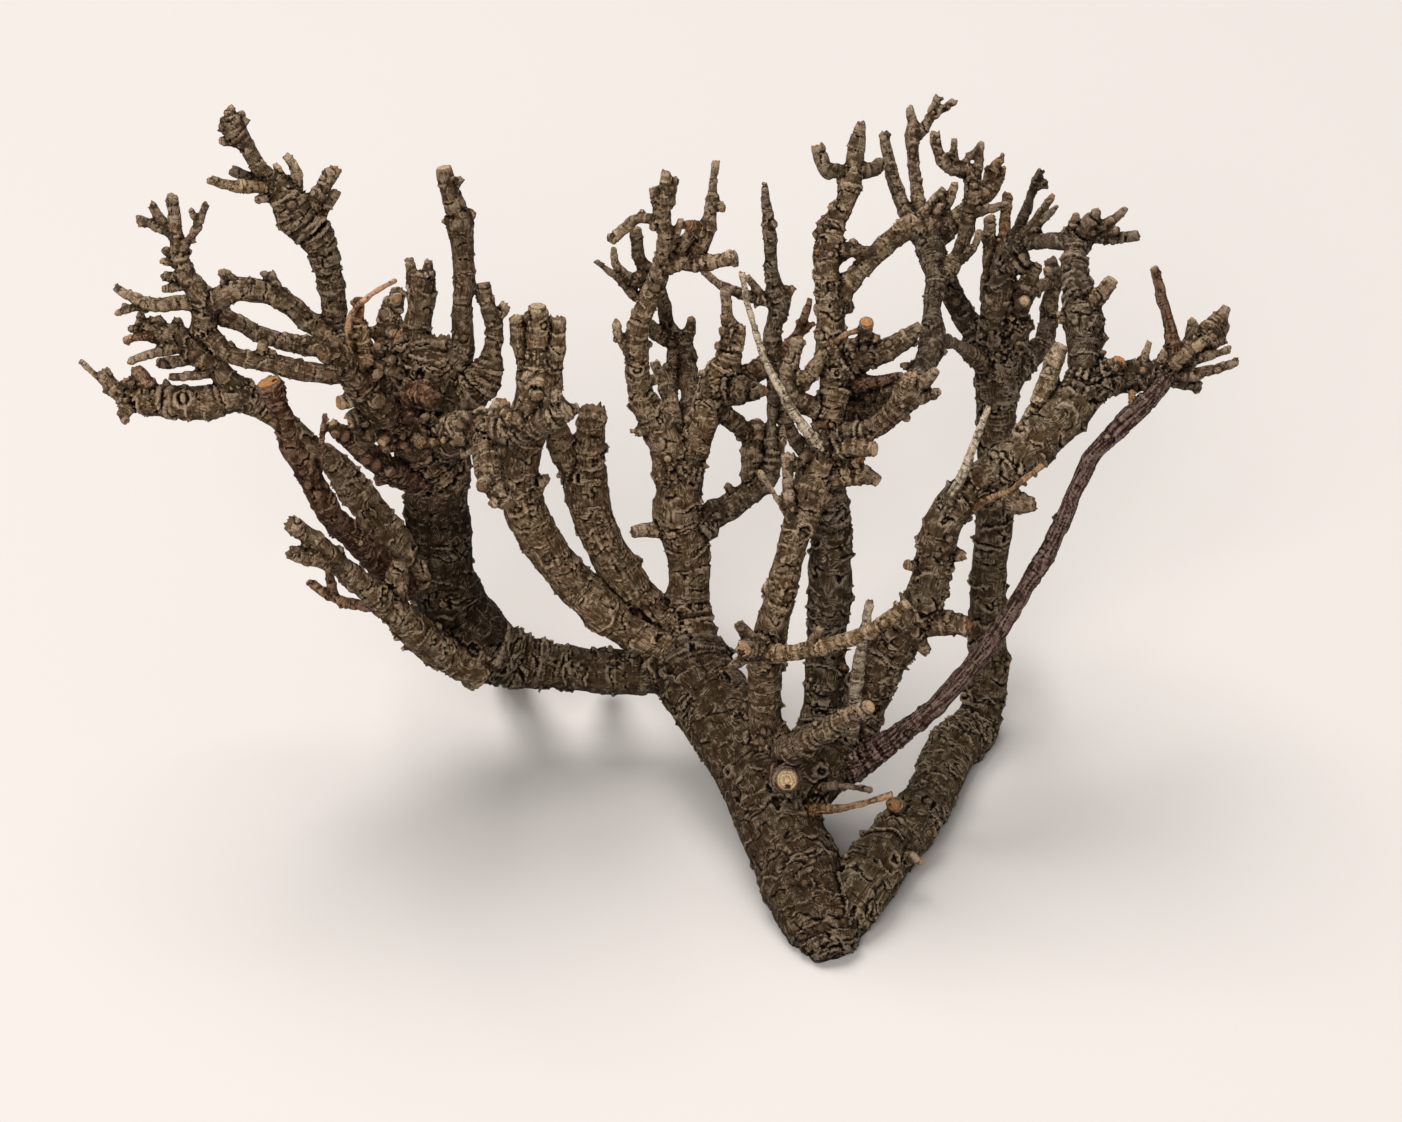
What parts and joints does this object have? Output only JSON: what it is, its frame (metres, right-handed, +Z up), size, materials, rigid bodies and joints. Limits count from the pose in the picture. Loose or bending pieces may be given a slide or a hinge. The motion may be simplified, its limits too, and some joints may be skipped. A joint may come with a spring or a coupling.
{
  "type": "driftwood branch",
  "caption": "Weathered, many-branched piece of driftwood with broken twigs and cut ends, standing on three low points.",
  "frame": {"origin": "on the ground plane, on the flat cut end of the trunk", "axes": "+Z up, +X to the right across the widest spread of the branches, -Y towards the front"},
  "size_m": [0.2545, 0.1495, 0.1611],
  "materials": {
    "wood": "rough weathered bark"
  },
  "bodies": {
    "root": {"driftwood": "wood"}
  },
  "joints": []
}
